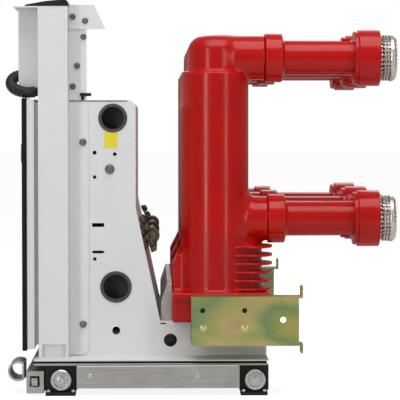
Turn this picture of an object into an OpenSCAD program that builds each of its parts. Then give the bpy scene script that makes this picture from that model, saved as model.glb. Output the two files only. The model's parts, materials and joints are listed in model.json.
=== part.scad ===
// Withdrawable indoor vacuum circuit breaker with embedded poles, on its truck.
// X runs from the operator's front (-X) to the contact arms (+X); Z is up from the floor.
// Left and right are as the operator at the front sees them: left is +Y, right is -Y.

/* [Phases] */
// Distance between the axes of neighbouring poles
phase_pitch = 210; // [205:1:215]
// Distance between the upper and the lower contact of a pole
contact_pitch = 276; // [270:0.5:280]
// Height of the lower contacts above the floor
lower_contact_z = 291; // [288:0.5:296]

/* [Poles] */
// Distance of the column's axis behind the frame's origin
column_x = 22.7; // [20:0.1:26]
// Radius of the column
column_r = 58; // [54:1:60]
// Height of the column's shoulder
shoulder_z = 543; // [535:1:548]
// Radius of the neck above the shoulder
neck_r = 47; // [44:1:50]
// Radius of the pole's two outlets
outlet_r = 38; // [35:0.5:40]
// How many skirts lengthen the creepage path at the rear
skirt_count = 6; // [4:1:6]
// Distance from one skirt to the next
skirt_pitch = 14.5; // [12:0.1:15]

/* [Contact arms] */
// Radius of the arm's collar at the pole
collar_r = 42; // [40:0.5:43]
// Radius of the insulated arm
arm_r = 29.8; // [28:0.1:31]
// Radius of the shield at the arm's end
shield_r = 48.5; // [46:0.5:50]
// Distance of the tulip contact's mouth behind the frame's origin
mouth_x = 333.5; // [330:0.5:336]
// Radius of the tulip contact outside
tulip_r = 40.6; // [39:0.1:41]
// Radius of the fixed contact that the tulip closes on
contact_bore_r = 24.5; // [24:0.5:27]

/* [Frame] */
// Width across the mechanism's side plates
mechanism_w = 500; // [490:2:510]
// Height of the mechanism's top
mechanism_z = 494; // [480:1:496]
// Width across the front posts
front_w = 580; // [570:2:590]
// Height of the front posts
post_z = 648; // [640:1:650]
// Thickness of the frame's sheet
sheet = 3; // [2:0.5:3]

/* [Truck] */
// Width across the wheels
truck_w = 656; // [650:1:660]
// Height of the deck's upper face
deck_z = 53.5; // [52:0.5:54]
// Radius of the wheels
wheel_r = 17.4; // [16:0.1:18]
// Height of the wheels' axles
axle_z = 27; // [26.5:0.1:28]
// Radius of the wheels' axle pins
axle_r = 6; // [5:0.5:7]
// Width across the shutter brackets
bracket_w = 680; // [670:2:690]

/* [Racking gear] */
// Radius of the racking screw
screw_r = 8; // [7:0.5:9]
// How far a latch handle slides
latch_travel = 12; // [10:1:12]

/* [Hidden] */
$fn = 64;
epoxy_red = [0.68, 0.06, 0.03];
frame_grey = [0.84, 0.85, 0.84];
zinc = [0.62, 0.61, 0.58];
black = [0.06, 0.06, 0.06];
silver = [0.78, 0.78, 0.76];
chromate_gold = [0.72, 0.64, 0.30];
steel_brown = [0.36, 0.32, 0.28];

upper_contact_z = lower_contact_z + contact_pitch;
// Poles: the foot stands on the tray, the flange on the foot
foot_z = 118;
flange_z = 156;
flange_t = 12;
foot_front_x = -51;
foot_rear_x = 114;
foot_half_w = 70;
dome_round = 30;
bulge_x = 66;
bulge_r = 38;
skirt_x = 72;
skirt_r = 50;
skirt_t = 5;
first_skirt_z = 171;
web_half_w = 24;
// Contact arms, from the pole's outlet to the shield's lip
upper_collar_x = 109;
lower_collar_x = 114;
collar_l = 29;
shield_x = 261;
shield_lip_l = 7;
shield_end_x = 305;
shield_wall = 6.5;
tulip_x = 277;
tulip_floor = 4;
// Frame: sheets that stand on the isolating strips
strip_t = 3.5;
frame_z = deck_z + strip_t;
base_t = 2;
floor_z = frame_z + base_t;
base_y = 314;
side_y = mechanism_w / 2;
front_y = front_w / 2;
panel_x = -276;
post_back_x = -226;
rear_x = -113;
slope_top_z = 311;
slope_low_x = -71.5;
tray_end_x = 110;
corner_r = 13;
shaft_at = [-86, 262];
shaft_r = 8;
upper_cup = [-151.7, 463.5];
lower_cup = [-146.6, 176.2];
upper_cup_r = 23;
lower_cup_r = 25.3;
cup_depth = 45;
cup_wall = 4;
cable_hole = [-146.3, 101.6];
cable_hole_r = 6.8;
tool_hole = [-54, 85.1];
tool_hole_r = 11.2;
side_slot = [-187, 278.5];
side_slot_size = [20.4, 6.5];
flag = [[-225.5, 614], [-164, 614], [-183, 655], [-225.5, 655]];
flag_t = 2.5;
flange_l = 30;
pole_beam_z = 180;
box_front_x = -311;
box_low_z = 514.5;
hose_r = 9.5;
gland_r = 7.5;
hose_route = [[-303, -236, 537], [-323.5, -241, 527], [-318, -257, 516], [-303, -262, 507.5]];
// Truck: wheels beside their housings, feet under them
deck_t = 3.5;
deck_under_z = deck_z - deck_t;
deck_front_x = -283;
deck_rear_x = 107;
truck_y = truck_w / 2;
rail_y = truck_y - 2;
wheel_w = 13;
wheel_gap = 3;
housing_y = truck_y - wheel_w - wheel_gap;
housing_t = 20;
housing_low_z = 8;
front_axle_x = -237;
rear_axle_x = 87;
front_housing = [-265, -211];
rear_housing = [61, 110];
foot_t = 8;
rail_low_z = 13;
running_gap = 0.05;
// Racking gear: the beam in front of the deck
beam_x = [-295, -266];
beam_z = [4, 41];
beam_y = 318;
beam_t = 3;
screw_z = 24;
arm_bar_y = 280;
member_x = [-256, -250];
latch_y = 256;
grip_x = -310;
grip_z = 39;
grip_r = 17;

// A block between two opposite corners.
module block(low, high) {
    translate(low) cube(high - low);
}

// An outline of X and Z, given thickness from y0 to y1.
module upright(y0, y1) {
    translate([0, max(y0, y1), 0]) rotate([90, 0, 0]) linear_extrude(abs(y1 - y0)) children();
}

// An outline of Y and Z, made into a bar from x0 to x1.
module upright_length(x0, x1) {
    translate([x0, 0, 0]) rotate([90, 0, 90]) linear_extrude(x1 - x0) children();
}

// A turned shape whose profile holds radius and X, about a line along X at height z.
module turned(y, z) {
    translate([0, y, z]) rotate([0, 90, 0]) rotate_extrude() children();
}

// A rod along X, and one along Y.
module rod_x(r, x0, x1, y, z) {
    translate([x0, y, z]) rotate([0, 90, 0]) cylinder(r = r, h = x1 - x0);
}
module rod_y(r, x, z, y0, y1) {
    translate([x, max(y0, y1), z]) rotate([90, 0, 0]) cylinder(r = r, h = abs(y1 - y0));
}

// A rod from point a to point b.
module rod_between(r, a, b) {
    run = b - a;
    translate(a) rotate([0, acos(run.z / norm(run)), atan2(run.y, run.x)]) cylinder(r = r, h = norm(run));
}

// A rectangle with round corners between two opposite corners.
module round_rect(low, high, r) {
    translate([low.x + r, low.y]) square([high.x - low.x - 2 * r, high.y - low.y]);
    translate([low.x, low.y + r]) square([high.x - low.x, high.y - low.y - 2 * r]);
    for (x = [low.x + r, high.x - r], y = [low.y + r, high.y - r]) translate([x, y]) circle(r);
}

// Half of the column's section: straight wall, shoulder, neck and rounded dome.
module column_section() {
    dome_z = upper_contact_z + outlet_r;
    translate([0, flange_z]) square([column_r, shoulder_z - flange_z]);
    translate([0, shoulder_z]) square([neck_r, dome_z - dome_round - shoulder_z]);
    translate([0, shoulder_z]) square([neck_r - dome_round, dome_z - shoulder_z]);
    intersection() {
        translate([neck_r - dome_round, dome_z - dome_round]) circle(dome_round);
        translate([0, shoulder_z]) square([neck_r, dome_z - shoulder_z]);
    }
}

// One cast epoxy pole: foot, column, dome, two outlets, rear bulge with skirts, front web.
module pole(y) {
    color(epoxy_red) translate([0, y, 0]) {
        translate([0, 0, foot_z]) linear_extrude(flange_z - foot_z)
            round_rect([foot_front_x, -foot_half_w], [foot_rear_x - 6, foot_half_w], 12);
        translate([0, 0, flange_z]) linear_extrude(flange_t)
            round_rect([foot_front_x, -foot_half_w - 4], [foot_rear_x, foot_half_w + 4], 16);
        translate([column_x, 0, 0]) rotate_extrude() column_section();
        rod_x(outlet_r, column_x, upper_collar_x, 0, upper_contact_z);
        rod_x(outlet_r, column_x, lower_collar_x, 0, lower_contact_z);
        translate([bulge_x, 0, flange_z]) cylinder(r = bulge_r, h = lower_contact_z - flange_z - 20);
        for (i = [0:skirt_count - 1])
            translate([skirt_x, 0, first_skirt_z + i * skirt_pitch]) cylinder(r = skirt_r, h = skirt_t);
        upright(-web_half_w, web_half_w)
            polygon([[foot_front_x, flange_z], [column_x, flange_z], [column_x, 255],
                     [column_x - column_r - 2, 241], [foot_front_x, 214]]);
    }
}

// One insulated contact arm: the collar at the pole and the arm up to its shield.
module contact_arm(y, z, collar_x) {
    color(epoxy_red) turned(y, z) {
        translate([0, collar_x]) square([collar_r, collar_l]);
        translate([0, collar_x]) square([arm_r, shield_x - collar_x]);
    }
}

// The three shield cups at one height, each round the root of its tulip contact.
module shields(z) {
    color(epoxy_red) for (y = [-phase_pitch, 0, phase_pitch]) turned(y, z) difference() {
        union() {
            translate([0, shield_x]) square([shield_r - 3, shield_lip_l]);
            translate([0, shield_x + shield_lip_l])
                square([shield_r, shield_end_x - shield_x - shield_lip_l]);
        }
        translate([0, tulip_x]) square([shield_r - shield_wall, shield_end_x]);
    }
}

// One tulip contact: the ring of fingers round the bore that takes the fixed contact.
module tulip(y, z) {
    color(silver) turned(y, z) difference() {
        union() {
            translate([0, tulip_x]) square([tulip_r - 4, mouth_x - tulip_x]);
            translate([0, shield_end_x + 3]) square([tulip_r, mouth_x - shield_end_x - 5]);
        }
        translate([0, tulip_x + tulip_floor]) square([contact_bore_r, mouth_x]);
    }
}

// Outline of a mechanism side plate in X and Z, without its holes.
module side_outline() {
    polygon([[post_back_x, frame_z], [tray_end_x, frame_z], [tray_end_x, foot_z],
             [slope_low_x, foot_z], [rear_x, slope_top_z], [rear_x, mechanism_z - corner_r],
             [rear_x - corner_r, mechanism_z], [post_back_x, mechanism_z]]);
    translate([rear_x - corner_r, mechanism_z - corner_r]) circle(corner_r);
}

// One side plate with its outward base flange and the holes for its cups, cables and tools.
module side_plate(side) {
    color(frame_grey) block([deck_front_x, min(side * base_y, side * (side_y - sheet)), frame_z],
                            [tray_end_x, max(side * base_y, side * (side_y - sheet)), floor_z]);
    color(frame_grey) upright(side * side_y, side * (side_y - sheet)) difference() {
        side_outline();
        translate(upper_cup) circle(upper_cup_r);
        translate(lower_cup) circle(lower_cup_r);
        translate(cable_hole) circle(cable_hole_r);
        translate(tool_hole) circle(tool_hole_r);
        translate(side_slot) square(side_slot_size);
    }
}

// The blind cups in one side plate that take the lifting bars.
module lifting_cups(side) {
    color(black) for (cup = [[upper_cup, upper_cup_r], [lower_cup, lower_cup_r]])
        difference() {
            union() {
                rod_y(cup[1] - 0.2, cup[0].x, cup[0].y, side * side_y, side * (side_y - cup_depth));
                rod_y(cup[1] + 1.5, cup[0].x, cup[0].y, side * side_y, side * (side_y + 1.5));
            }
            rod_y(cup[1] - cup_wall, cup[0].x, cup[0].y,
                  side * (side_y + 2), side * (side_y - cup_depth + cup_wall));
        }
}

// The lid of the mechanism, between its side plates.
module mechanism_lid() {
    inner_y = side_y - sheet;
    color(frame_grey) block([post_back_x, -inner_y, mechanism_z - sheet],
                            [rear_x - corner_r, inner_y, mechanism_z]);
}

// The rear cover: down the back, then along the slope to the tray.
module rear_cover() {
    inner_y = side_y - sheet;
    color(steel_brown) upright(-inner_y, inner_y)
        polygon([[rear_x - corner_r, mechanism_z], [rear_x - corner_r, mechanism_z - sheet],
                 [rear_x - sheet, mechanism_z - corner_r], [rear_x - sheet, slope_top_z],
                 [slope_low_x - sheet, foot_z], [slope_low_x, foot_z],
                 [rear_x, slope_top_z], [rear_x, mechanism_z - corner_r + 1.5],
                 [rear_x - 4, mechanism_z - 4], [rear_x - corner_r + 1.5, mechanism_z]]);
}

// The tray that carries the poles, closed at the rear.
module base_tray() {
    inner_y = side_y - sheet;
    color(frame_grey) {
        block([slope_low_x - sheet, -inner_y, foot_z - sheet], [tray_end_x, inner_y, foot_z]);
        block([tray_end_x - sheet, -inner_y, frame_z], [tray_end_x, inner_y, foot_z]);
    }
}

// The cross beam that ties the poles' feet to the mechanism.
module pole_beam() {
    color(frame_grey) upright(-side_y + 10, side_y - 10)
        polygon([[-70, foot_z], [foot_front_x, foot_z], [foot_front_x, pole_beam_z],
                 [-60, pole_beam_z], [-70, pole_beam_z - 30]]);
}

// The drive shaft behind the slope.
module drive_shaft() {
    color(steel_brown) rod_y(shaft_r, shaft_at.x, shaft_at.y, -side_y + 20, side_y - 20);
}

// The levers and links that the drive shaft carries for the poles, and its two bearings.
module drive_levers() {
    color(steel_brown) difference() {
        union() {
            for (y = [-phase_pitch, 0, phase_pitch]) {
                rod_y(14, shaft_at.x, shaft_at.y, y - 9, y + 9);
                upright(y - 6, y + 6) polygon([[-96, 262], [-76, 262], [-77, 236], [-86, 232]]);
            }
            for (y = [-side_y + 68, side_y - 76]) {
                rod_y(13, shaft_at.x, shaft_at.y, y, y + 8);
                upright(y, y + 8) polygon([[-106.3, 280], [-101, 255], [-88, 250], [-86, 275]]);
            }
        }
        rod_y(shaft_r, shaft_at.x, shaft_at.y, -side_y, side_y);
    }
}

// One front post: side sheet with a recessed pocket at the foot, and its inward return.
module post(side) {
    outer = side * front_y;
    inner = side * (front_y - sheet);
    pocket = side * (front_y - 9);
    color(frame_grey) difference() {
        union() {
            upright(outer, inner) polygon([[panel_x, floor_z], [post_back_x, floor_z],
                                           [post_back_x, post_z], [panel_x, post_z]]);
            upright(inner, side * side_y)
                translate([post_back_x - sheet, floor_z]) square([sheet, post_z - floor_z]);
            upright(inner, pocket) translate([-273, floor_z]) square([46, 26.5]);
        }
        upright(side * (front_y + 1), side * (front_y - 8))
            translate([-270, 60.5]) square([40, 22]);
    }
}

// The sheet across the front, between the posts.
module front_panel() {
    inner_y = front_y - sheet;
    color(frame_grey) block([panel_x, -inner_y, floor_z], [panel_x + sheet, inner_y, post_z]);
}

// The sheet that closes the front's upper part at the back.
module back_panel() {
    inner_y = side_y - sheet;
    color(frame_grey) block([post_back_x - sheet, -inner_y, mechanism_z], [post_back_x, inner_y, post_z]);
}

// The shallow box on the front's upper part, open against the panel.
module upper_box() {
    color(frame_grey) difference() {
        block([box_front_x, -side_y, box_low_z], [panel_x, side_y, post_z]);
        block([box_front_x + sheet, -side_y + sheet, box_low_z + sheet],
              [panel_x + 1, side_y - sheet, post_z - sheet]);
    }
}

// The plate over the front, with a rolled front edge.
module top_plate() {
    plate_t = 2.4;
    color(frame_grey) {
        block([-316, -front_y, post_z], [post_back_x, front_y, post_z + plate_t]);
        rod_y(plate_t / 2, -316, post_z + plate_t / 2, -front_y, front_y);
    }
}

// The black wedge-shaped cap on the top plate.
module top_cap() {
    cap_z = post_z + 2.4;
    color(black) upright(-front_y + 4, front_y - 4)
        polygon([[-299, cap_z], [-226, cap_z], [-226, cap_z + 8], [-230, cap_z + 12],
                 [-262, cap_z + 9], [-296, cap_z + 3]]);
}

// The flange behind the right post's upper part, with its flag-shaped bracket.
module rear_flange(side) {
    outer = side * side_y;
    color(frame_grey) {
        upright(outer, side * (side_y - sheet))
            translate([post_back_x, mechanism_z]) square([flange_l, post_z + 2 - mechanism_z]);
        upright(outer, side * (side_y + flag_t)) polygon(flag);
    }
}

// The cover on the front panel's lower part, with its narrower base.
module front_cover() {
    color(frame_grey) difference() {
        union() {
            block([-296, -281, 74], [-283, 281, 495]);
            block([-283, -266, 80], [panel_x, 266, 490]);
        }
        block([-296 + sheet, -266 + sheet, 80 + sheet], [panel_x + 1, 266 - sheet, 490 - sheet]);
    }
}

// The black fascia over the front cover.
module front_fascia() {
    color(black) block([-304, -284, 71], [-296, 284, 497]);
}

// Push buttons, indicator windows, counter and the charging socket on the fascia.
module front_controls() {
    face_x = -304;
    color(silver) {
        for (y = [70, 160]) rod_x(17, face_x - 7, face_x, y, 400);
        difference() {
            rod_x(24, face_x - 5, face_x, -150, 330);
            rod_x(15, face_x - 6, face_x, -150, 330);
        }
        for (y = [-60, -150, -230]) block([face_x - 3, y - 26, 388], [face_x, y + 26, 420]);
        block([face_x - 3, 60, 300], [face_x, 170, 340]);
    }
}

// The conduit that leaves the upper box, passes its lower corner and enters the front panel.
module conduit() {
    color(black) {
        difference() {
            union() {
                for (i = [0:len(hose_route) - 2]) rod_between(hose_r, hose_route[i], hose_route[i + 1]);
                for (i = [1:len(hose_route) - 1]) translate(hose_route[i]) sphere(hose_r + 0.5);
            }
            block([box_front_x, -side_y, box_low_z], [panel_x, 0, post_z]);
        }
        end = hose_route[len(hose_route) - 1];
        rod_x(gland_r, end.x, panel_x, end.y, end.z);
    }
}

// One bracket that lifts the shutters: web, lips, foot and rear ears, out of one sheet.
module shutter_bracket(side) {
    outer = side * bracket_w / 2;
    inner = side * (bracket_w / 2 - sheet);
    low_z = 85;
    high_z = 167;
    front_x = -20;
    web_l = 179;
    lip_l = 186;
    lip_w = 35;
    color(chromate_gold) {
        upright(outer, inner) difference() {
            translate([front_x, low_z]) square([web_l, high_z - low_z]);
            for (x = [-1, 68.5]) translate([x, 144]) circle(4.3);
            translate([132.7, 128.4]) circle(5.3);
        }
        upright(inner, side * (bracket_w / 2 - lip_w)) {
            translate([front_x, high_z - sheet]) square([lip_l, sheet]);
            translate([front_x + lip_l - sheet, high_z - sheet]) square([sheet, 20]);
            translate([front_x + lip_l - sheet, low_z - 13]) square([sheet, 13 + sheet]);
        }
        upright(inner, side * side_y) translate([front_x, low_z]) square([web_l, sheet]);
        upright(inner, side * (bracket_w / 2 - lip_w)) translate([front_x, low_z]) square([lip_l, sheet]);
        upright(side * side_y, side * (side_y + sheet)) translate([front_x, low_z]) square([130, 27]);
    }
}

// The truck's deck under the breaker.
module truck_deck() {
    color(zinc) block([deck_front_x, -truck_y + 10, deck_under_z], [deck_rear_x, truck_y - 10, deck_z]);
}

// The black strips between the deck and the breaker's frame.
module isolating_strips() {
    color(black) for (side = [-1, 1]) {
        low_y = min(side * (side_y - 25), side * (truck_y - 14));
        block([deck_front_x, low_y, deck_z], [deck_rear_x, low_y + truck_y - 14 - side_y + 25, frame_z]);
    }
}

// One side channel of the truck, between its wheel housings.
module truck_rail(side) {
    color(zinc) upright_length(front_housing[1], rear_housing[0])
        polygon([[side * rail_y, rail_low_z], [side * rail_y, deck_under_z],
                 [side * (rail_y - sheet), deck_under_z], [side * (rail_y - sheet), rail_low_z + sheet],
                 [side * (rail_y - 30), rail_low_z + sheet], [side * (rail_y - 30), rail_low_z]]);
}

// The truck's front cross member with the nut that the racking screw runs in.
module truck_front_member() {
    end_y = housing_y - housing_t;
    color(zinc) difference() {
        union() {
            block([member_x[0], -end_y, 10], [member_x[1], end_y, deck_under_z]);
            rod_x(15, member_x[0] - 4, member_x[1] + 10, 0, screw_z + 1);
        }
        rod_x(screw_r + running_gap, member_x[0] - 5, member_x[1] + 11, 0, screw_z);
        for (side = [-1, 1])
            block([member_x[0] - 1, side * arm_bar_y - 7, 9], [member_x[1] + 1, side * arm_bar_y + 7, 38]);
    }
}

// The truck's rear cross member.
module truck_rear_member() {
    end_y = housing_y - housing_t;
    color(zinc) {
        block([deck_rear_x - sheet, -end_y, rail_low_z], [deck_rear_x, end_y, deck_under_z]);
        block([deck_rear_x - 30, -end_y, rail_low_z], [deck_rear_x, end_y, rail_low_z + sheet]);
    }
}

// One wheel housing with its axle pin and the foot under it.
module wheel_housing(side, span, axle_x) {
    outer = side * housing_y;
    block_inner = side * (housing_y - housing_t);
    upright(outer, block_inner) translate([span[0], housing_low_z])
        square([span[1] - span[0], deck_under_z - housing_low_z]);
    upright(side * (truck_y - 6), block_inner)
        translate([span[0] + 2, 0]) square([span[1] - span[0] - 4, foot_t - 1.5]);
    upright(outer, block_inner)
        translate([span[0] + 2, foot_t - 2]) square([span[1] - span[0] - 4, 3]);
    rod_y(axle_r, axle_x, axle_z, outer - side, side * (truck_y + 1.5));
}

// The two housings on one side of the truck.
module wheel_housings(side) {
    color(black) {
        wheel_housing(side, front_housing, front_axle_x);
        wheel_housing(side, rear_housing, rear_axle_x);
    }
}

// One wheel, bored to run on its axle pin, with a turned recess outside.
module wheel(side, axle_x) {
    outer = side * truck_y;
    color(silver) difference() {
        rod_y(wheel_r, axle_x, axle_z, outer, side * (truck_y - wheel_w));
        rod_y(axle_r + running_gap, axle_x, axle_z, side * (truck_y + 1), side * (truck_y - wheel_w - 1));
        difference() {
            rod_y(11.4, axle_x, axle_z, side * (truck_y + 1), side * (truck_y - 2.5));
            rod_y(8.5, axle_x, axle_z, side * (truck_y + 2), side * (truck_y - 3));
        }
    }
}

// The racking beam across the truck's front, with the latch slots and the crank hole.
module racking_beam() {
    front = [[beam_x[0], beam_z[0]], [beam_x[0] + beam_t, beam_z[1]]];
    color(zinc) difference() {
        block([beam_x[0], -beam_y, beam_z[0]], [beam_x[1], beam_y, beam_z[1]]);
        block([beam_x[0] + beam_t, -beam_y + beam_t, beam_z[0] + beam_t],
              [beam_x[1] + 1, beam_y - beam_t, beam_z[1] - beam_t]);
        rod_x(13, front[0].x - 1, front[1].x + 1, 0, screw_z);
        for (side = [-1, 1]) {
            block([beam_x[0] - 1, side * (latch_y - latch_travel / 2) - 17, 13],
                  [beam_x[0] + beam_t + 1, side * (latch_y - latch_travel / 2) + 17, 35]);
            block([-289, side * beam_y - 5, 15], [-273, side * beam_y + 5, 33]);
        }
    }
}

// The two bars that guide the beam along the truck.
module guide_arms() {
    color(zinc) for (side = [-1, 1])
        block([beam_x[1], side * arm_bar_y - 4, 14], [-20, side * arm_bar_y + 4, 34]);
}

// The racking screw, from the crank hole in the beam back under the deck.
module racking_screw() {
    color(silver) {
        rod_x(screw_r, beam_x[0] + 5, 0, 0, screw_z);
        rod_x(11, beam_x[0] + 8, beam_x[0] + 16, 0, screw_z);
    }
}

// One latch: the grip loop in front of the beam and the bolt that locks into the cubicle.
module latch_handle(side) {
    grip_back_x = -300;
    color(zinc) {
        upright(side * 236, side * 300) intersection() {
            difference() {
                translate([grip_x, grip_z]) circle(grip_r);
                intersection() {
                    translate([grip_x, grip_z]) circle(grip_r - 3.5);
                    translate([grip_x - grip_r, grip_z - grip_r])
                        square([grip_back_x - 3 - grip_x + grip_r, 2 * grip_r]);
                }
            }
            translate([grip_x - grip_r, grip_z - grip_r])
                square([grip_back_x - grip_x + grip_r, 2 * grip_r]);
        }
        block([grip_back_x - 1, min(side * (latch_y - 6), side * (latch_y + 6)), 23],
              [-286, max(side * (latch_y - 6), side * (latch_y + 6)), 30]);
        block([-286, min(side * (latch_y - 6), side * (truck_y - 2)), 18],
              [-276, max(side * (latch_y - 6), side * (truck_y - 2)), 30]);
    }
}

pole(phase_pitch);  // pole_left
pole(0);  // pole_centre
pole(-phase_pitch);  // pole_right
contact_arm(phase_pitch, upper_contact_z, upper_collar_x);  // upper_arm_left
contact_arm(0, upper_contact_z, upper_collar_x);  // upper_arm_centre
contact_arm(-phase_pitch, upper_contact_z, upper_collar_x);  // upper_arm_right
contact_arm(phase_pitch, lower_contact_z, lower_collar_x);  // lower_arm_left
contact_arm(0, lower_contact_z, lower_collar_x);  // lower_arm_centre
contact_arm(-phase_pitch, lower_contact_z, lower_collar_x);  // lower_arm_right
shields(upper_contact_z);  // upper_shields
shields(lower_contact_z);  // lower_shields
tulip(phase_pitch, upper_contact_z);  // upper_tulip_left
tulip(0, upper_contact_z);  // upper_tulip_centre
tulip(-phase_pitch, upper_contact_z);  // upper_tulip_right
tulip(phase_pitch, lower_contact_z);  // lower_tulip_left
tulip(0, lower_contact_z);  // lower_tulip_centre
tulip(-phase_pitch, lower_contact_z);  // lower_tulip_right
side_plate(1);  // side_plate_left
side_plate(-1);  // side_plate_right
mechanism_lid();
rear_cover();
base_tray();
pole_beam();
drive_shaft();
drive_levers();
post(1);  // post_left
post(-1);  // post_right
front_panel();
back_panel();
upper_box();
top_plate();
top_cap();
rear_flange(-1);
front_cover();
front_fascia();
front_controls();
conduit();
lifting_cups(1);  // lifting_cups_left
lifting_cups(-1);  // lifting_cups_right
shutter_bracket(1);  // shutter_bracket_left
shutter_bracket(-1);  // shutter_bracket_right
truck_deck();
isolating_strips();
truck_rail(1);  // truck_rail_left
truck_rail(-1);  // truck_rail_right
truck_front_member();
truck_rear_member();
wheel_housings(1);  // wheel_housings_left
wheel_housings(-1);  // wheel_housings_right
wheel(1, front_axle_x);  // wheel_front_left
wheel(-1, front_axle_x);  // wheel_front_right
wheel(1, rear_axle_x);  // wheel_rear_left
wheel(-1, rear_axle_x);  // wheel_rear_right
racking_beam();
guide_arms();
racking_screw();
latch_handle(1);  // latch_handle_left
latch_handle(-1);  // latch_handle_right
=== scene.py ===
# %% [markdown]
# # A withdrawable vacuum circuit breaker
# This notebook dresses a finished construction model. The frame holds every piece at its real
# size and place, so the looks are built round it: each new piece takes its position from the
# frame's own boxes, and each moving piece rides on the body that carries it.

import json
import math

import bpy
import bmesh
import numpy as np
from mathutils import Matrix, Vector


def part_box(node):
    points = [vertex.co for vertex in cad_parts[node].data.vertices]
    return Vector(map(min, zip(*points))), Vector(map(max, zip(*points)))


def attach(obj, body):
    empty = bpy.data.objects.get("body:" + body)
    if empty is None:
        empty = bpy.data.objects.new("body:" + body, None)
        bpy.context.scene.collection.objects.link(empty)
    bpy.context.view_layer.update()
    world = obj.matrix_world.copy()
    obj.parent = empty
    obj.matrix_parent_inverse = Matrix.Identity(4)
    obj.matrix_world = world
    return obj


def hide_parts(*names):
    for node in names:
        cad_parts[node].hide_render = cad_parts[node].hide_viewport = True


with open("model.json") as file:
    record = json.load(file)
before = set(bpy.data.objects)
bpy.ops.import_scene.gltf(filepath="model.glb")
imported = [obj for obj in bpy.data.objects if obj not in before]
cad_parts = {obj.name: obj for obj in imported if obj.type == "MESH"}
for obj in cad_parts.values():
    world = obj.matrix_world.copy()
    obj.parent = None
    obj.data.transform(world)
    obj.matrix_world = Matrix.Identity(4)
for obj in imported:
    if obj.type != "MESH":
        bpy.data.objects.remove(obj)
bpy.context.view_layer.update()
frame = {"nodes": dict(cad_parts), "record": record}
MM = 0.001
TRUCK = "truck"

# %% [markdown]
# ## Camera, floor and light
# A product photograph of switchgear is taken square from the side with a long lens, so the poles
# behind show just above and beside the near one. The camera stands level with the mechanism's
# top and looks at the middle of the machine. A white sweep would bounce too much light on grey
# paint, so the white comes only from rays that look straight at the floor and the world.

# %% Camera
scene = bpy.context.scene
scene.view_settings.view_transform = "Standard"
camera_data = bpy.data.cameras.new("camera")
camera_data.lens = 173.3
camera_data.sensor_width = 36
camera_data.clip_end = 30
camera = bpy.data.objects.new("camera", camera_data)
scene.collection.objects.link(camera)
camera.location = (-0.080, -3.523, 0.455)
look_at = Vector((-0.0026, -0.210, 0.3226))
camera.rotation_euler = (look_at - camera.location).to_track_quat("-Z", "Y").to_euler()
scene.camera = camera
print("camera", round((look_at - camera.location).length, 3), "m from the near pole")


# %% World and floor
def white_when_seen(tree, plain, white, target):
    """Rays that look straight at a surface get white; rays that light the object get plain."""
    path = tree.nodes.new("ShaderNodeLightPath")
    seen = path.outputs["Is Camera Ray"]
    mix = tree.nodes.new("ShaderNodeMixShader")
    tree.links.new(seen, mix.inputs[0])
    tree.links.new(plain.outputs[0], mix.inputs[1])
    tree.links.new(white.outputs[0], mix.inputs[2])
    tree.links.new(mix.outputs[0], target)


world = bpy.data.worlds.new("studio")
scene.world = world
world.use_nodes = True
world_nodes = world.node_tree
world_nodes.nodes.clear()
world_out = world_nodes.nodes.new("ShaderNodeOutputWorld")
room = world_nodes.nodes.new("ShaderNodeBackground")
room.inputs["Color"].default_value = (1.0, 1.0, 1.0, 1)
room.inputs["Strength"].default_value = 0.30
sky = world_nodes.nodes.new("ShaderNodeBackground")
sky.inputs["Color"].default_value = (1, 1, 1, 1)
sky.inputs["Strength"].default_value = 1.0
white_when_seen(world_nodes, room, sky, world_out.inputs["Surface"])

floor_mesh = bpy.data.meshes.new("studio_floor")
floor_mesh.from_pydata([(-30, -30, 0), (30, -30, 0), (30, 30, 0), (-30, 30, 0)], [], [(0, 1, 2, 3)])
floor = bpy.data.objects.new("studio_floor", floor_mesh)
scene.collection.objects.link(floor)
floor_paint = bpy.data.materials.new("studio_floor")
floor_paint.use_nodes = True
floor_nodes = floor_paint.node_tree
floor_nodes.nodes.clear()
floor_out = floor_nodes.nodes.new("ShaderNodeOutputMaterial")
matt = floor_nodes.nodes.new("ShaderNodeBsdfDiffuse")
matt.inputs["Color"].default_value = (0.75, 0.75, 0.75, 1)
glow = floor_nodes.nodes.new("ShaderNodeEmission")
glow.inputs["Strength"].default_value = 1.47
veil = floor_nodes.nodes.new("ShaderNodeMixShader")
veil.inputs[0].default_value = 0.6
floor_nodes.links.new(matt.outputs[0], veil.inputs[1])
floor_nodes.links.new(glow.outputs[0], veil.inputs[2])
white_when_seen(floor_nodes, matt, veil, floor_out.inputs["Surface"])
floor_mesh.materials.append(floor_paint)


# %% Lamps
def softbox(name, place, target, size, watts):
    """A square studio lamp at a place, turned to a target."""
    data = bpy.data.lights.new(name, "AREA")
    data.shape = "RECTANGLE"
    data.size, data.size_y = size
    data.energy = watts
    lamp = bpy.data.objects.new(name, data)
    scene.collection.objects.link(lamp)
    lamp.location = place
    lamp.rotation_euler = (Vector(target) - Vector(place)).to_track_quat("-Z", "Y").to_euler()
    return lamp


softbox("overhead", (0.1, -0.9, 2.3), (0, 0, 0.3), (2.2, 1.6), 34)
softbox("left_front", (-1.5, -2.7, 0.9), (0, 0, 0.35), (0.35, 2.0), 17)
softbox("right_front", (1.6, -2.3, 0.8), (0, 0, 0.35), (0.25, 1.8), 8)
softbox("behind", (0.6, 2.4, 1.8), (0, 0, 0.3), (2.0, 1.5), 16)

# %% [markdown]
# ## Finishes
# Powder coat, cast epoxy, plated steel and moulded plastic differ less in colour than in how
# their surface breaks the light. Three small node groups carry what they share: a slow drift of
# colour, a fine skin for the bump, and the drawn grain of rolled and plated sheet. Each material
# sets its own values and keeps its own Principled shader.


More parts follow.
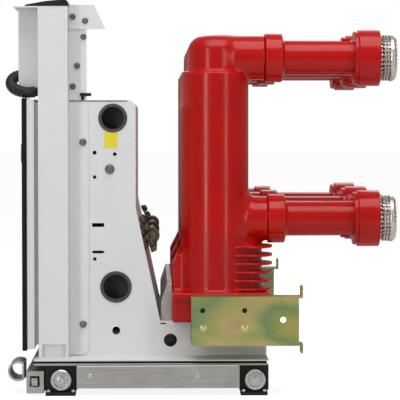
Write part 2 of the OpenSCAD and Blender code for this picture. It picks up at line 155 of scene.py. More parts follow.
# %% Node group helpers
def new_group(name, inputs, outputs):
    """A shader node group with named sockets, and its input and output nodes."""
    tree = bpy.data.node_groups.new(name, "ShaderNodeTree")
    for socket, kind, value in inputs:
        made = tree.interface.new_socket(socket, in_out="INPUT", socket_type=kind)
        made.default_value = value
    for socket, kind in outputs:
        tree.interface.new_socket(socket, in_out="OUTPUT", socket_type=kind)
    return tree, tree.nodes.new("NodeGroupInput"), tree.nodes.new("NodeGroupOutput")


def noise(tree, coordinate, scale, detail=3.0, rough=0.5):
    """A noise texture on a coordinate, its scale a socket or a number."""
    made = tree.nodes.new("ShaderNodeTexNoise")
    tree.links.new(coordinate, made.inputs["Vector"])
    if isinstance(scale, (int, float)):
        made.inputs["Scale"].default_value = scale
    else:
        tree.links.new(scale, made.inputs["Scale"])
    made.inputs["Detail"].default_value = detail
    made.inputs["Roughness"].default_value = rough
    return made


def ramp(tree, value, low, high):
    """Stretches a value so that low becomes 0 and high becomes 1."""
    made = tree.nodes.new("ShaderNodeMapRange")
    made.inputs["From Min"].default_value = low
    made.inputs["From Max"].default_value = high
    tree.links.new(value, made.inputs["Value"])
    return made.outputs["Result"]


# %% Group: drift of colour and sheen
drift, drift_in, drift_out = new_group(
    "surface_drift",
    [("Light", "NodeSocketColor", (1, 1, 1, 1)), ("Dark", "NodeSocketColor", (0.8, 0.8, 0.8, 1)),
     ("Patch Size", "NodeSocketFloat", 12.0), ("Smooth", "NodeSocketFloat", 0.3),
     ("Rough", "NodeSocketFloat", 0.45)],
    [("Color", "NodeSocketColor"), ("Roughness", "NodeSocketFloat")])
drift_place = drift.nodes.new("ShaderNodeTexCoord")
drift_noise = noise(drift, drift_place.outputs["Object"], drift_in.outputs["Patch Size"], 4.0, 0.55)
drift_mix = drift.nodes.new("ShaderNodeMix")
drift_mix.data_type = "RGBA"
drift_share = ramp(drift, drift_noise.outputs["Fac"], 0.3, 0.7)
drift.links.new(drift_share, drift_mix.inputs["Factor"])
drift.links.new(drift_in.outputs["Light"], drift_mix.inputs[6])
drift.links.new(drift_in.outputs["Dark"], drift_mix.inputs[7])
drift.links.new(drift_mix.outputs[2], drift_out.inputs["Color"])
drift_rough = drift.nodes.new("ShaderNodeMix")
drift.links.new(drift_share, drift_rough.inputs["Factor"])
drift.links.new(drift_in.outputs["Smooth"], drift_rough.inputs[2])
drift.links.new(drift_in.outputs["Rough"], drift_rough.inputs[3])
drift.links.new(drift_rough.outputs[0], drift_out.inputs["Roughness"])

# %% Group: the fine skin of paint, resin and plastic
skin, skin_in, skin_out = new_group(
    "fine_skin", [("Grain Size", "NodeSocketFloat", 600.0), ("Wave Size", "NodeSocketFloat", 40.0)],
    [("Height", "NodeSocketFloat")])
skin_place = skin.nodes.new("ShaderNodeTexCoord")
skin_fine = noise(skin, skin_place.outputs["Object"], skin_in.outputs["Grain Size"], 2.0)
skin_wave = noise(skin, skin_place.outputs["Object"], skin_in.outputs["Wave Size"], 2.0)
skin_sum = skin.nodes.new("ShaderNodeMath")
skin_sum.operation = "MULTIPLY_ADD"
skin_sum.inputs[1].default_value = 2.5
skin.links.new(skin_wave.outputs["Fac"], skin_sum.inputs[0])
skin.links.new(skin_fine.outputs["Fac"], skin_sum.inputs[2])
skin.links.new(skin_sum.outputs[0], skin_out.inputs["Height"])

# %% Group: the drawn grain of plated sheet
grain, grain_in, grain_out = new_group(
    "drawn_grain",
    [("Light", "NodeSocketColor", (0.7, 0.7, 0.7, 1)), ("Dark", "NodeSocketColor", (0.5, 0.5, 0.5, 1)),
     ("Stretch", "NodeSocketVector", (6.0, 6.0, 90.0)), ("Smooth", "NodeSocketFloat", 0.3),
     ("Rough", "NodeSocketFloat", 0.5)],
    [("Color", "NodeSocketColor"), ("Roughness", "NodeSocketFloat"), ("Height", "NodeSocketFloat")])
grain_place = grain.nodes.new("ShaderNodeTexCoord")
grain_scale = grain.nodes.new("ShaderNodeVectorMath")
grain_scale.operation = "MULTIPLY"
grain.links.new(grain_place.outputs["Object"], grain_scale.inputs[0])
grain.links.new(grain_in.outputs["Stretch"], grain_scale.inputs[1])
grain_lines = noise(grain, grain_scale.outputs[0], 6.0, 5.0, 0.6)
grain_cloud = noise(grain, grain_place.outputs["Object"], 18.0, 4.0, 0.6)
grain_sum = grain.nodes.new("ShaderNodeMath")
grain_sum.operation = "MULTIPLY_ADD"
grain_sum.inputs[1].default_value = 0.5
grain_half = grain.nodes.new("ShaderNodeMath")
grain_half.operation = "MULTIPLY"
grain_half.inputs[1].default_value = 0.5
grain.links.new(grain_lines.outputs["Fac"], grain_half.inputs[0])
grain.links.new(grain_cloud.outputs["Fac"], grain_sum.inputs[0])
grain.links.new(grain_half.outputs[0], grain_sum.inputs[2])
grain_share = ramp(grain, grain_sum.outputs[0], 0.36, 0.64)
grain_mix = grain.nodes.new("ShaderNodeMix")
grain_mix.data_type = "RGBA"
grain.links.new(grain_share, grain_mix.inputs["Factor"])
grain.links.new(grain_in.outputs["Light"], grain_mix.inputs[6])
grain.links.new(grain_in.outputs["Dark"], grain_mix.inputs[7])
grain.links.new(grain_mix.outputs[2], grain_out.inputs["Color"])
grain_rough = grain.nodes.new("ShaderNodeMix")
grain.links.new(grain_share, grain_rough.inputs["Factor"])
grain.links.new(grain_in.outputs["Smooth"], grain_rough.inputs[2])
grain.links.new(grain_in.outputs["Rough"], grain_rough.inputs[3])
grain.links.new(grain_rough.outputs[0], grain_out.inputs["Roughness"])
grain.links.new(grain_lines.outputs["Fac"], grain_out.inputs["Height"])
print("node groups:", [g.name for g in bpy.data.node_groups])


# %% Material maker
def place_group(material, tree, values):
    """Puts a node group into a material with its own values."""
    node = material.node_tree.nodes.new("ShaderNodeGroup")
    node.node_tree = tree
    for socket, value in values.items():
        node.inputs[socket].default_value = value
    return node


def material_with(name, metallic=0.0, coat=0.0, specular=0.5):
    """A material with a plain Principled shader, and that shader."""
    material = bpy.data.materials.new(name)
    material.use_nodes = True
    shader = material.node_tree.nodes["Principled BSDF"]
    shader.inputs["Metallic"].default_value = metallic
    shader.inputs["Coat Weight"].default_value = coat
    shader.inputs["Specular IOR Level"].default_value = specular
    return material, shader


def add_bump(material, shader, height, strength, distance):
    """Feeds a height into a bump node that turns the shader's normal."""
    bump = material.node_tree.nodes.new("ShaderNodeBump")
    bump.inputs["Strength"].default_value = strength
    bump.inputs["Distance"].default_value = distance
    material.node_tree.links.new(height, bump.inputs["Height"])
    material.node_tree.links.new(bump.outputs["Normal"], shader.inputs["Normal"])


def coated(name, light, dark, patch, smooth, rough, grain_size, bump, coat=0.0, specular=0.5):
    """Paint, resin or plastic: a drifting colour under a finely textured skin."""
    material, shader = material_with(name, 0.0, coat, specular)
    links = material.node_tree.links
    colour = place_group(material, drift, {
        "Light": (*light, 1), "Dark": (*dark, 1), "Patch Size": patch, "Smooth": smooth, "Rough": rough})
    links.new(colour.outputs["Color"], shader.inputs["Base Color"])
    links.new(colour.outputs["Roughness"], shader.inputs["Roughness"])
    surface = place_group(material, skin, {"Grain Size": grain_size, "Wave Size": 30.0})
    add_bump(material, shader, surface.outputs["Height"], bump, 0.0004)
    return material


def plated(name, light, dark, stretch, smooth, rough, bump, metallic=1.0):
    """Plated or rolled metal: a drawn grain in the colour, the sheen and the bump."""
    material, shader = material_with(name, metallic)
    links = material.node_tree.links
    surface = place_group(material, grain, {
        "Light": (*light, 1), "Dark": (*dark, 1), "Stretch": stretch, "Smooth": smooth, "Rough": rough})
    links.new(surface.outputs["Color"], shader.inputs["Base Color"])
    links.new(surface.outputs["Roughness"], shader.inputs["Roughness"])
    add_bump(material, shader, surface.outputs["Height"], bump, 0.0002)
    return material


# %% The breaker's finishes
epoxy = coated("red_epoxy", (0.50, 0.0050, 0.0018), (0.42, 0.0028, 0.0010), 14.0, 0.16, 0.26, 300.0, 0.05,
               specular=0.32)
powder = coated("grey_powder_coat", (0.76, 0.76, 0.755), (0.72, 0.725, 0.72), 9.0, 0.38, 0.52, 1400.0, 0.18)
black_moulding = coated("black_moulding", (0.004, 0.004, 0.004), (0.007, 0.007, 0.007), 30.0, 0.4, 0.5,
                        1500.0, 0.2, specular=0.2)
black_steel = coated("black_steel", (0.006, 0.006, 0.006), (0.014, 0.013, 0.012), 40.0, 0.4, 0.6, 900.0, 0.2,
                     specular=0.3)
rubber = coated("isolating_rubber", (0.006, 0.006, 0.006), (0.010, 0.010, 0.010), 25.0, 0.6, 0.8, 900.0, 0.3,
                specular=0.15)
hose_black = coated("conduit_plastic", (0.008, 0.008, 0.008), (0.014, 0.014, 0.015), 60.0, 0.22, 0.35, 700.0,
                    0.15)
silver = plated("silver_plate", (0.80, 0.76, 0.72), (0.52, 0.47, 0.43), (30, 30, 30), 0.24, 0.42, 0.2)
zinc = plated("zinc_plate", (0.56, 0.545, 0.51), (0.40, 0.385, 0.36), (2.5, 14, 40), 0.34, 0.55, 0.25)
bright = plated("bright_zinc", (0.74, 0.73, 0.70), (0.52, 0.51, 0.49), (40, 40, 40), 0.2, 0.38, 0.15)
dark_steel = plated("oiled_steel", (0.20, 0.165, 0.12), (0.07, 0.055, 0.04), (20, 30, 30), 0.35, 0.6, 0.4,
                    metallic=0.7)
pale_gold = plated("pale_chromate", (0.80, 0.74, 0.42), (0.58, 0.52, 0.26), (40, 40, 40), 0.24, 0.4, 0.2)
cup_black = coated("phosphated_cup", (0.075, 0.075, 0.07), (0.045, 0.045, 0.042), 40.0, 0.45, 0.6, 900.0, 0.2,
                   specular=0.4)
grey_steel = plated("dull_zinc_bolts", (0.30, 0.29, 0.28), (0.17, 0.165, 0.16), (30, 30, 30), 0.3, 0.5, 0.2)
print("finishes:", [m.name for m in bpy.data.materials])


# %% Yellow chromate
# %% [markdown]
# Yellow chromate is zinc with a film so thin that it shows interference colours: straw and gold,
# drifting to green and pink. A colour ramp driven by a slow noise gives those bands.

# %% Chromate film
def chromate_finish():
    """Zinc under a thin chromate film, gold that drifts to green and rose."""
    material, shader = material_with("yellow_chromate", 0.85)
    nodes, links = material.node_tree.nodes, material.node_tree.links
    place = nodes.new("ShaderNodeTexCoord")
    stretch = nodes.new("ShaderNodeMapping")
    stretch.inputs["Scale"].default_value = (1.0, 1.0, 1.6)
    links.new(place.outputs["Object"], stretch.inputs["Vector"])
    film = noise(material.node_tree, stretch.outputs["Vector"], 7.0, 2.0, 0.45)
    film.inputs["Distortion"].default_value = 0.3
    bands = nodes.new("ShaderNodeValToRGB")
    stops = [(0.30, (0.56, 0.46, 0.14)), (0.42, (0.36, 0.40, 0.13)), (0.50, (0.24, 0.36, 0.17)),
             (0.58, (0.44, 0.45, 0.16)), (0.66, (0.62, 0.50, 0.20)), (0.76, (0.52, 0.33, 0.24))]
    while len(bands.color_ramp.elements) < len(stops):
        bands.color_ramp.elements.new(0.5)
    for element, (place_at, colour) in zip(bands.color_ramp.elements, stops):
        element.position = place_at
        element.color = (*colour, 1)
    links.new(film.outputs["Fac"], bands.inputs["Fac"])
    links.new(bands.outputs["Color"], shader.inputs["Base Color"])
    surface = place_group(material, grain, {"Stretch": (3, 10, 60), "Smooth": 0.24, "Rough": 0.42})
    links.new(surface.outputs["Roughness"], shader.inputs["Roughness"])
    add_bump(material, shader, surface.outputs["Height"], 0.2, 0.0002)
    return material


chromate = chromate_finish()

# %% [markdown]
# ## Tools for making pieces
# Sheet metal and machined parts never have knife edges. A copy of a construction piece is merged
# into clean faces and gets a small bevel, which catches the light as the real edge does. Turned
# parts are spun from a section, and everything that repeats is placed by Geometry Nodes.


# %% Finished objects
def add_object(name, mesh, material, body=TRUCK, stands_for=(), cast=False):
    """Links a finished mesh as a piece that rides on a body."""
    mesh = mesh if cast else weighted(mesh)
    piece = bpy.data.objects.new(name, mesh)
    scene.collection.objects.link(piece)
    if material is not None:
        mesh.materials.clear()
        mesh.materials.append(material)
    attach(piece, body)
    if stands_for:
        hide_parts(*stands_for)
    return piece


def smooth_by_angle(mesh, degrees=35):
    """Smooth shading, with edges sharper than the angle kept crisp."""
    mesh.shade_smooth()
    mesh.set_sharp_from_angle(angle=math.radians(degrees))


def evaluated_mesh(maker):
    """The plain mesh that an object's modifiers or curve settings make."""
    bpy.context.view_layer.update()
    shaped = maker.evaluated_get(bpy.context.evaluated_depsgraph_get())
    mesh = bpy.data.meshes.new_from_object(shaped)
    bpy.data.objects.remove(maker)
    return mesh


def temporary(mesh_or_curve, name="maker"):
    """An object that only exists until its mesh is made."""
    maker = bpy.data.objects.new(name, mesh_or_curve)
    scene.collection.objects.link(maker)
    return maker


def weighted(mesh):
    """Turns the normals beside a rounded edge to the large faces, so that flat sheet reads flat."""
    maker = temporary(mesh)
    modifier = maker.modifiers.new("normals", "WEIGHTED_NORMAL")
    modifier.keep_sharp = True
    modifier.weight = 60
    return evaluated_mesh(maker)


def bevelled(mesh, width, segments=2, angle=40):
    """The mesh with its sharp edges rounded over."""
    maker = temporary(mesh)
    bevel = maker.modifiers.new("edge", "BEVEL")
    bevel.width = width
    bevel.segments = segments
    bevel.limit_method = "ANGLE"
    bevel.angle_limit = math.radians(angle)
    bevel.use_clamp_overlap = True
    made = evaluated_mesh(maker)
    smooth_by_angle(made, 50)
    return made


def clean_copy(node, whole_faces=True):
    """A copy of a construction piece's mesh, merged, and with its flat faces whole if asked."""
    mesh = frame["nodes"][node].data.copy()
    shape = bmesh.new()
    shape.from_mesh(mesh)
    bmesh.ops.remove_doubles(shape, verts=shape.verts, dist=2e-5)
    if whole_faces:
        bmesh.ops.dissolve_limit(shape, angle_limit=math.radians(1), verts=shape.verts, edges=shape.edges)
    shape.to_mesh(mesh)
    shape.free()
    return mesh


def soften(node, material, width=0.6 * MM):
    """Stands in for a construction piece with the same shape and rounded edges."""
    body = next(b for b, names in frame["record"]["behaviour"]["bodies"].items() if node in names)
    mesh = bevelled(clean_copy(node, not node.startswith("post_")), width)
    return add_object(f"{node}_finished", mesh, material, body, [node])


# %% Turned and boxed meshes
def turned(section, steps=64, axis="Z", at=(0, 0, 0)):
    """Spins a section of (radius, height) points round an axis into a closed mesh."""
    rings = []
    vertices = []
    for radius, height in section:
        if radius < 1e-7:
            rings.append([len(vertices)])
            vertices.append((0, 0, height))
        else:
            rings.append(list(range(len(vertices), len(vertices) + steps)))
            for i in range(steps):
                turn = 2 * math.pi * i / steps
                vertices.append((radius * math.cos(turn), radius * math.sin(turn), height))
    faces = []
    closed = section[0] == section[-1]
    if closed:
        rings[-1] = rings[0]
    for low, high in zip(rings, rings[1:]):
        for i in range(steps):
            j = (i + 1) % steps
            if len(low) == 1 and len(high) == 1:
                continue
            if len(low) == 1:
                faces.append((low[0], high[j], high[i]))
            elif len(high) == 1:
                faces.append((low[i], low[j], high[0]))
            else:
                faces.append((low[i], low[j], high[j], high[i]))
    mesh = bpy.data.meshes.new("turned")
    mesh.from_pydata(vertices, [], faces)
    shape = bmesh.new()
    shape.from_mesh(mesh)
    bmesh.ops.delete(shape, geom=[v for v in shape.verts if not v.link_faces], context="VERTS")
    bmesh.ops.recalc_face_normals(shape, faces=shape.faces)
    shape.to_mesh(mesh)
    shape.free()
    turns = {"Z": Matrix(), "X": Matrix.Rotation(math.pi / 2, 4, "Y"),
             "-Y": Matrix.Rotation(math.pi / 2, 4, "X"), "Y": Matrix.Rotation(-math.pi / 2, 4, "X"),
             "-X": Matrix.Rotation(-math.pi / 2, 4, "Y")}
    mesh.transform(Matrix.Translation(at) @ turns[axis])
    smooth_by_angle(mesh, 40)
    return mesh


def rounded(points, radius, steps=4):
    """The outline with each inner corner replaced by a small curve."""
    made = [points[0]]
    for before, corner, after in zip(points, points[1:], points[2:]):
        corner_v, before_v, after_v = (np.array(p, float) for p in (corner, before, after))
        reach = min(radius, 0.45 * np.linalg.norm(before_v - corner_v), 0.45 * np.linalg.norm(after_v - corner_v))
        start = corner_v + reach * (before_v - corner_v) / np.linalg.norm(before_v - corner_v)
        end = corner_v + reach * (after_v - corner_v) / np.linalg.norm(after_v - corner_v)
        for i in range(steps + 1):
            t = i / steps
            point = (1 - t) ** 2 * start + 2 * t * (1 - t) * corner_v + t * t * end
            made.append((float(point[0]), float(point[1])))
    made.append(points[-1])
    return made


def block(low, high, width=0.5 * MM):
    """A block between two corners with rounded edges."""
    mesh = bpy.data.meshes.new("block")
    shape = bmesh.new()
    bmesh.ops.create_cube(shape, size=1)
    low, high = Vector(low), Vector(high)
    for vertex in shape.verts:
        vertex.co = Vector([(low[i] + high[i]) / 2 + vertex.co[i] * (high[i] - low[i]) for i in range(3)])
    shape.to_mesh(mesh)
    shape.free()
    return bevelled(mesh, width)


def joined(meshes):
    """Several meshes as one."""
    shape = bmesh.new()
    for mesh in meshes:
        shape.from_mesh(mesh)
    made = bpy.data.meshes.new("joined")
    shape.to_mesh(made)
    shape.free()
    return made


def moved(mesh, offset):
    """A copy of a mesh, shifted."""
    made = mesh.copy()
    made.transform(Matrix.Translation(offset))
    return made


print("tools ready")

# %% [markdown]
# ### Geometry Nodes that repeat a shape
# Two trees cover most of what repeats. One puts a shape at marked places, each turned the way its
# place faces: bolts, rivets and nuts. The other puts a shape round a ring: fingers, beads and
# knobs. Both realise their copies and set the material, so that the result is a plain mesh.


# %% Tree: a shape at marked places
def geometry_tree(name, inputs):
    """A geometry tree with named inputs, and its input and output nodes."""
    tree = bpy.data.node_groups.new(name, "GeometryNodeTree")
    tree.interface.new_socket("Geometry", in_out="INPUT", socket_type="NodeSocketGeometry")
    for socket, kind in inputs:
        tree.interface.new_socket(socket, in_out="INPUT", socket_type=kind)
    tree.interface.new_socket("Geometry", in_out="OUTPUT", socket_type="NodeSocketGeometry")
    return tree, tree.nodes.new("NodeGroupInput"), tree.nodes.new("NodeGroupOutput")


def close_tree(tree, source, tree_in, tree_out):
    """Ends a tree in Realize Instances and Set Material."""
    real = tree.nodes.new("GeometryNodeRealizeInstances")
    paint = tree.nodes.new("GeometryNodeSetMaterial")
    tree.links.new(source, real.inputs[0])
    tree.links.new(real.outputs[0], paint.inputs["Geometry"])
    tree.links.new(tree_in.outputs["Finish"], paint.inputs["Material"])
    tree.links.new(paint.outputs[0], tree_out.inputs[0])


at_places, places_in, places_out = geometry_tree(
    "shape_at_places",
    [("Shape", "NodeSocketObject"), ("Finish", "NodeSocketMaterial"), ("Size", "NodeSocketFloat")])
shape_info = at_places.nodes.new("GeometryNodeObjectInfo")
at_places.links.new(places_in.outputs["Shape"], shape_info.inputs["Object"])
facing = at_places.nodes.new("GeometryNodeInputNamedAttribute")
facing.data_type = "FLOAT_VECTOR"
facing.inputs["Name"].default_value = "facing"
align = at_places.nodes.new("FunctionNodeAlignRotationToVector")
align.axis = "Z"
at_places.links.new(facing.outputs["Attribute"], align.inputs["Vector"])
put = at_places.nodes.new("GeometryNodeInstanceOnPoints")
at_places.links.new(places_in.outputs["Geometry"], put.inputs["Points"])
at_places.links.new(shape_info.outputs["Geometry"], put.inputs["Instance"])
at_places.links.new(align.outputs["Rotation"], put.inputs["Rotation"])
at_places.links.new(places_in.outputs["Size"], put.inputs["Scale"])
close_tree(at_places, put.outputs[0], places_in, places_out)

# %% Tree: a shape round a ring
round_ring, ring_in, ring_out = geometry_tree(
    "shape_round_ring",
    [("Shape", "NodeSocketObject"), ("Finish", "NodeSocketMaterial"), ("Count", "NodeSocketInt"),
     ("Radius", "NodeSocketFloat")])
ring_info = round_ring.nodes.new("GeometryNodeObjectInfo")
round_ring.links.new(ring_in.outputs["Shape"], ring_info.inputs["Object"])
circle = round_ring.nodes.new("GeometryNodeMeshCircle")
round_ring.links.new(ring_in.outputs["Count"], circle.inputs["Vertices"])
round_ring.links.new(ring_in.outputs["Radius"], circle.inputs["Radius"])
outward = round_ring.nodes.new("GeometryNodeInputPosition")
turn_out = round_ring.nodes.new("FunctionNodeAlignRotationToVector")
turn_out.axis = "X"
turn_out.pivot_axis = "Z"
round_ring.links.new(outward.outputs[0], turn_out.inputs["Vector"])
ring_put = round_ring.nodes.new("GeometryNodeInstanceOnPoints")
round_ring.links.new(circle.outputs[0], ring_put.inputs["Points"])
round_ring.links.new(ring_info.outputs["Geometry"], ring_put.inputs["Instance"])
round_ring.links.new(turn_out.outputs["Rotation"], ring_put.inputs["Rotation"])
close_tree(round_ring, ring_put.outputs[0], ring_in, ring_out)


# %% Running a tree
def grown(tree, points_mesh, shape_mesh, values):
    """Runs a geometry tree once and returns the plain mesh it makes."""
    base = temporary(points_mesh, "base")
    shape = temporary(shape_mesh, "shape")
    modifier = base.modifiers.new("grow", "NODES")
    modifier.node_group = tree
    values = {**values, "Shape": shape}
    for item in tree.interface.items_tree:
        if item.item_type == "SOCKET" and item.in_out == "INPUT" and item.name in values:
            modifier[item.identifier] = values[item.name]
    made = evaluated_mesh(base)
    bpy.data.objects.remove(shape)
    return made


def at(places, shape_mesh, finish, size=1.0):
    """Copies of a shape at ((x, y, z), facing) places."""
    marks = bpy.data.meshes.new("marks")
    marks.from_pydata([place for place, _ in places], [], [])
    way = marks.attributes.new("facing", "FLOAT_VECTOR", "POINT")
    way.data.foreach_set("vector", [c for _, direction in places for c in direction])
    return grown(at_places, marks, shape_mesh, {"Finish": finish, "Size": size})


def ring_of(shape_mesh, finish, count, radius, centre):
    """Copies of a shape round a ring whose axis is +X, about a centre."""
    start = bpy.data.meshes.new("start")
    made = grown(round_ring, start, shape_mesh, {"Finish": finish, "Count": count, "Radius": radius})
    made.transform(Matrix.Translation(centre) @ Matrix.Rotation(math.pi / 2, 4, "Y"))
    return made


print("trees:", at_places.name, round_ring.name)

# %% [markdown]
# ## The poles
# Each pole is one casting of epoxy resin round a vacuum interrupter, so every outlet runs into
# the column in a soft fillet. A distance function describes such a casting well: each simple body
# gives the distance to its surface, and a smooth minimum blends neighbours as a mould would.
# A remeshed block-out is pulled onto that surface, which leaves an even, closed mesh.

# %% Distances to simple bodies
pole_low, pole_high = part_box("pole_centre")
AXIS_X = 22.7 * MM
COLUMN = {"radius": 58 * MM, "top": 543 * MM, "neck": 47 * MM, "crown": pole_high.z}
OUTLET = {"radius": 38 * MM, "upper": 567 * MM, "lower": 291 * MM}


def capped(radial, along, radius, low, high, edge):
    """Distance to a round bar with rounded rims, from its radial and axial coordinates."""
    out_r = radial - (radius - edge)
    out_a = np.abs(along - (low + high) / 2) - ((high - low) / 2 - edge)
    inside = np.minimum(np.maximum(out_r, out_a), 0)
    return inside + np.hypot(np.maximum(out_r, 0), np.maximum(out_a, 0)) - edge


def boxed(p, low, high, edge):
    """Distance to a box with rounded edges."""
    low, high = np.array(low), np.array(high)
    q = np.abs(p - (low + high) / 2) - ((high - low) / 2 - edge)
    return np.linalg.norm(np.maximum(q, 0), axis=1) + np.minimum(q.max(axis=1), 0) - edge


def blend_min(a, b, reach):
    """The nearer of two bodies, with a fillet of about that reach where they meet."""
    h = np.maximum(reach - np.abs(a - b), 0) / reach
    return np.minimum(a, b) - h * h * reach / 4


def pole_distance(p):
    """Distance from points to the surface of one pole standing on the middle plane."""
    x, y, z = p[:, 0], p[:, 1], p[:, 2]
    round_column = np.hypot(x - AXIS_X, y)
    column = capped(round_column, z, COLUMN["radius"], 150 * MM, COLUMN["top"], 5 * MM)
    neck = capped(round_column, z, COLUMN["neck"], 400 * MM, COLUMN["crown"], 30 * MM)
    body = blend_min(column, neck, 7 * MM)
    upper = capped(np.hypot(y, z - OUTLET["upper"]), x, OUTLET["radius"], AXIS_X, 109.4 * MM, 0.6 * MM)
    lower = capped(np.hypot(y, z - OUTLET["lower"]), x, OUTLET["radius"], AXIS_X, 114.4 * MM, 0.6 * MM)
    body = blend_min(body, upper, 8 * MM)
    body = blend_min(body, lower, 16 * MM)
    bulge = capped(np.hypot(x - 66 * MM, y), z, 38 * MM, 150 * MM, 252 * MM, 9 * MM)
    body = blend_min(body, bulge, 12 * MM)
    web = boxed(p, (-51 * MM, -24 * MM, 150 * MM), (AXIS_X, 24 * MM, 241 * MM), 3 * MM)
    slope = (p[:, 0] + 51 * MM) * -0.89 + (z - 214 * MM) * 0.456
    web = np.maximum(web, slope)
    body = blend_min(body, web, 8 * MM)
    flange = boxed(p, (-51 * MM, -74 * MM, 156 * MM), (114 * MM, 74 * MM, 168 * MM), 3 * MM)
    foot = boxed(p, (-51 * MM, -70 * MM, 118 * MM), (108 * MM, 70 * MM, 158 * MM), 2.5 * MM)
    return blend_min(blend_min(body, flange, 8 * MM), foot, 4 * MM)


# %% Cast one pole
def cast_pole():
    """A closed, even mesh on the pole's distance surface."""
    shapes = [
        turned([(0, 0.14), (0.058, 0.14), (0.058, 0.543), (0.047, 0.543), (0.047, 0.58), (0.03, 0.602),
                (0, 0.602)], 48, at=(AXIS_X, 0, 0)),
        turned([(0, 0), (0.037, 0), (0.037, 0.086), (0, 0.086)], 40, "X", (AXIS_X, 0, OUTLET["upper"])),
        turned([(0, 0), (0.037, 0), (0.037, 0.091), (0, 0.091)], 40, "X", (AXIS_X, 0, OUTLET["lower"])),
        turned([(0, 0.14), (0.038, 0.14), (0.038, 0.25), (0, 0.25)], 40, at=(0.066, 0, 0)),
        block((-0.050, -0.024, 0.15), (AXIS_X, 0.024, 0.230), 0.001),
        block((-0.051, -0.074, 0.156), (0.114, 0.074, 0.168), 0.001),
        block((-0.051, -0.070, 0.118), (0.108, 0.070, 0.158), 0.001)]
    maker = temporary(joined(shapes))
    remesh = maker.modifiers.new("even", "REMESH")
    remesh.mode = "VOXEL"
    remesh.voxel_size = 3.2 * MM
    mesh = evaluated_mesh(maker)
    points = np.empty(len(mesh.vertices) * 3)
    mesh.vertices.foreach_get("co", points)
    points = points.reshape(-1, 3)
    step = 0.05 * MM
    for _ in range(6):
        here = pole_distance(points)
        steep = np.stack([(pole_distance(points + step * way) - here) / step for way in np.eye(3)], axis=1)
        points -= steep * (here / np.maximum((steep ** 2).sum(axis=1), 0.2))[:, None]
    mesh.vertices.foreach_set("co", points.ravel())
    mesh.update()
    mesh.shade_smooth()
    print("pole faces", len(mesh.polygons), "worst distance", float(np.abs(pole_distance(points)).max()))
    return mesh


one_pole = cast_pole()
skirt = turned(rounded([(0, -2.5 * MM), (50 * MM, -2.5 * MM), (50 * MM, 2.5 * MM), (0, 2.5 * MM)], 2 * MM), 72)
SKIRTS = [((72 * MM, 0, (171 + 14.5 * i) * MM), (0, 0, 1)) for i in range(6)]
skirts = at(SKIRTS, skirt, epoxy)
poles = {"left": 0.210, "centre": 0.0, "right": -0.210}
for side, across in poles.items():
    add_object(f"pole_casting_{side}", moved(one_pole, (0, across, 0)), epoxy,
               stands_for=[f"pole_{side}"], cast=True)
    add_object(f"pole_skirts_{side}", moved(skirts, (0, across, 0)), epoxy)

# %% [markdown]
# ## Contact arms, shields and tulips
# An arm is a copper bar in a moulded red sleeve. Its end wears a wider shield, and the silvered
# tulip stands out of it: a ring of separate fingers, pressed inward by coil springs, that closes
# over the fixed contact of the cubicle.

# %% Section of an arm and its shield
EDGE = 1.2 * MM


def arm_sections(start):
    """Sections of the arm and of the shield, from the outlet's face."""
    arm = [(0, start - 0.5 * MM), (41.3 * MM, start - 0.5 * MM), (42 * MM, start + 0.8 * MM),
           (42 * MM, start + 27 * MM), (40.5 * MM, start + 29 * MM), (32.5 * MM, start + 30 * MM),
           (30 * MM, start + 33 * MM), (29.8 * MM, 262 * MM), (0, 262 * MM)]
    shield = [(0, 261 * MM), (45.5 * MM, 261 * MM), (45.5 * MM, 267.2 * MM), (48.5 * MM, 268.6 * MM),
              (48.5 * MM, 305 * MM), (42 * MM, 305 * MM), (42 * MM, 277 * MM), (0, 277 * MM)]
    return rounded(arm, EDGE), rounded(shield, EDGE)


# %% Parts of a tulip
def finger():
    """One contact finger, in the ring's frame: +X out from the axis, +Z towards the mouth's back."""
    outline = [(27, -281), (35.4, -281), (35.4, -300), (38.6, -302), (39.4, -305), (38.6, -308),
               (36, -310), (36, -331), (36, -332.6), (35, -333.4), (31, -333.4),
               (26.5, -330), (24.7, -326), (25.4, -320), (27, -312)]
    half = 2.25 * MM
    shape = bmesh.new()
    rows = [[shape.verts.new((r * MM, across, -x * MM)) for r, x in outline] for across in (-half, half)]
    shape.faces.new(rows[0])
    shape.faces.new(list(reversed(rows[1])))
    for i in range(len(outline)):
        j = (i + 1) % len(outline)
        shape.faces.new((rows[0][j], rows[0][i], rows[1][i], rows[1][j]))
    bmesh.ops.recalc_face_normals(shape, faces=shape.faces)
    mesh = bpy.data.meshes.new("finger")
    shape.to_mesh(mesh)
    shape.free()
    return bevelled(mesh, 0.4 * MM, 2, 30)


def hoop(radius, thick, x):
    """A round wire hoop about the arm's axis."""
    section = [(radius + thick * math.cos(a), x + thick * math.sin(a))
               for a in np.linspace(0, 2 * math.pi, 13)[:-1]]
    return turned(section + [section[0]], 72, "X")


